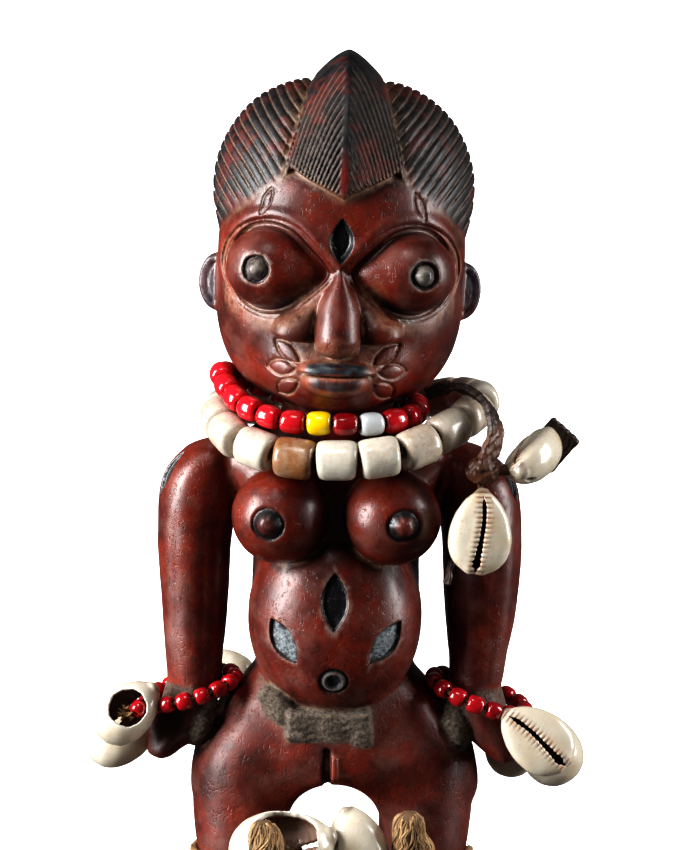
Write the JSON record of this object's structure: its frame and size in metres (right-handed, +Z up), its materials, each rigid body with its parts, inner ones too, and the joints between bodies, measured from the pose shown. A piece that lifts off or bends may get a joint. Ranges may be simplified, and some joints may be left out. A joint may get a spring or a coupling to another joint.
{
  "type": "carved wood statuette",
  "caption": "Standing carved figure of a woman on a low round base, with combed hair lobes and crest, bead strings, a leather thong and cowrie shells tied on.",
  "frame": {"origin": "centre of the base's underside", "axes": "+Z up, the figure faces -Y and its left hand is towards +X"},
  "size_m": [0.1421, 0.0796, 0.2756],
  "materials": {
    "wood": "dark red-brown rubbed patina, waxed gloss on the high parts, blackened hair and marks, pale dust in the cuts",
    "white_beads": "glossy, worn, stained cream to brown",
    "red_beads": "opaque glossy glass",
    "yellow_bead": "opaque glossy glass",
    "milky_bead": "milky glossy glass",
    "leather": "dark, dry, cracked",
    "shell": "polished shell, ivory with brown stains",
    "fibre": "frayed plant fibre cord"
  },
  "bodies": {
    "root": {"figure": "wood", "white_bead_necklace": "white_beads", "red_bead_necklace": "red_beads", "yellow_bead": "yellow_bead", "milky_bead": "milky_bead", "leather_thong": "leather", "leather_toggle": "leather", "hanging_cowrie": "shell", "side_cowrie": "shell", "right_wristlet": "red_beads", "right_wrist_cowrie_1": "shell", "right_wrist_cowrie_2": "shell", "right_wrist_cowrie_3": "shell", "right_wrist_cowrie_4": "shell", "right_leg_cord": "fibre", "left_wristlet": "red_beads", "left_wrist_cowrie_1": "shell", "left_wrist_cowrie_2": "shell", "left_wrist_cowrie_3": "shell", "left_leg_cord": "fibre", "right_leg_cut_cowrie": "shell", "left_leg_cowrie": "shell", "right_leg_fibre_knot": "fibre", "left_leg_fibre_knot": "fibre"}
  },
  "joints": []
}
